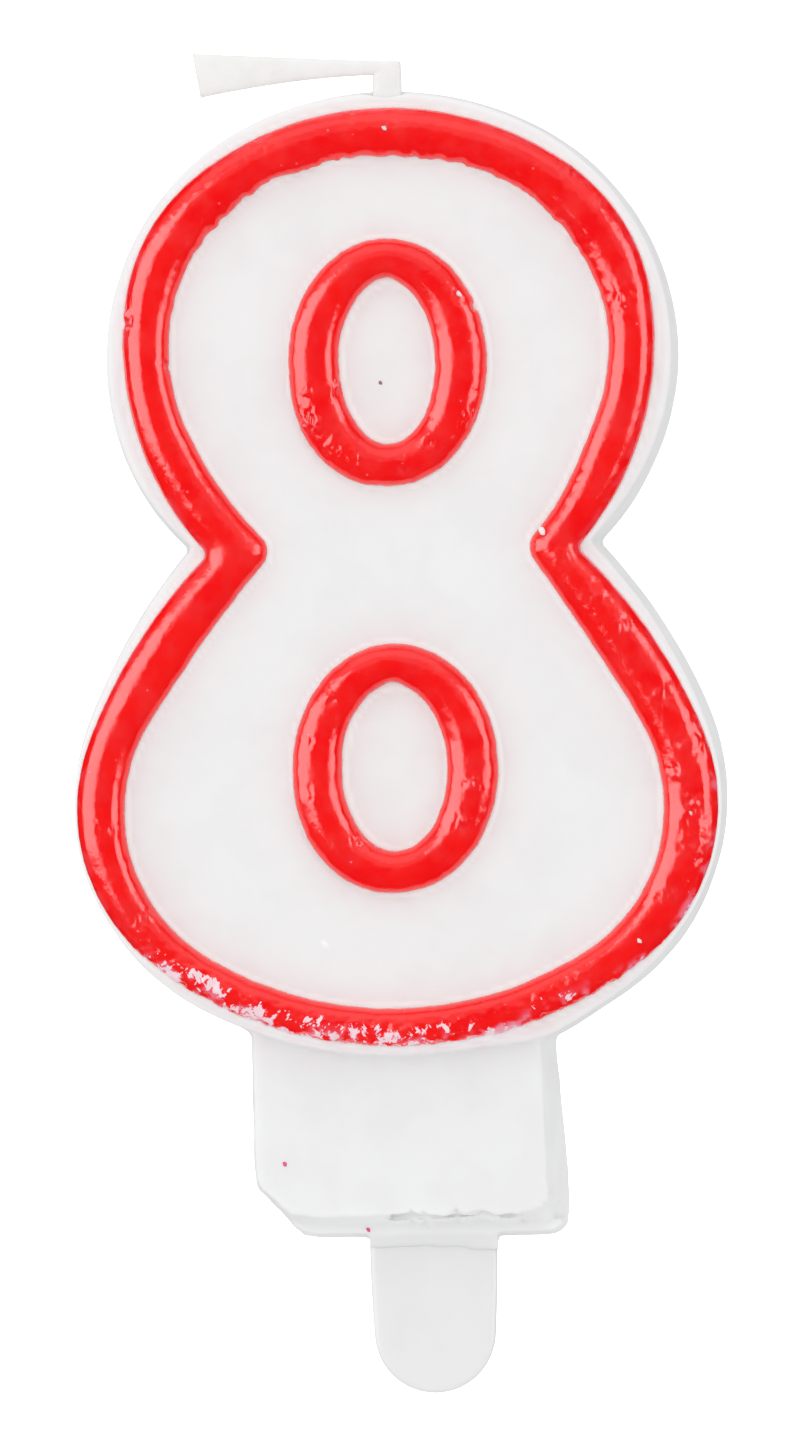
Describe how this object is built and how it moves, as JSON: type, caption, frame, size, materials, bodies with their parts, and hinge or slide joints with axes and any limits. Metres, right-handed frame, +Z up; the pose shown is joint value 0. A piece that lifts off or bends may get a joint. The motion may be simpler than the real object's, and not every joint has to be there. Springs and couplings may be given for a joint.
{
  "type": "number birthday candle",
  "caption": "Wax figure-eight birthday candle with a raised red outline, a folded wick on top and a wax foot block holding a flat plastic pick for a cake.",
  "frame": {"origin": "where the pick's mid-plane leaves the underside of the foot block, centred on the pick", "axes": "+Z up along the numeral, towards the wick; -Y is the decorated front and +Y the flat back; +X to the right seen from the front"},
  "size_m": [0.0408, 0.0082, 0.0834],
  "materials": {
    "white_wax": "satin",
    "red_wax": "gloss",
    "waxed_wick": "satin",
    "pick_plastic": "satin"
  },
  "bodies": {
    "candle": {"wax_body": "white_wax", "outline_bead": "red_wax", "upper_ring_bead": "red_wax", "lower_ring_bead": "red_wax", "wick_core": "waxed_wick", "pick": "pick_plastic"},
    "wick_end": {"wick_tip": "waxed_wick"}
  },
  "joints": [
    {"name": "wick_fold", "type": "hinge", "parent": "candle", "child": "wick_end", "pos_m": [-0.00105, -0.0044, 0.07241], "axis": [0, 1, 0], "range_deg": [-10, 90]}
  ]
}
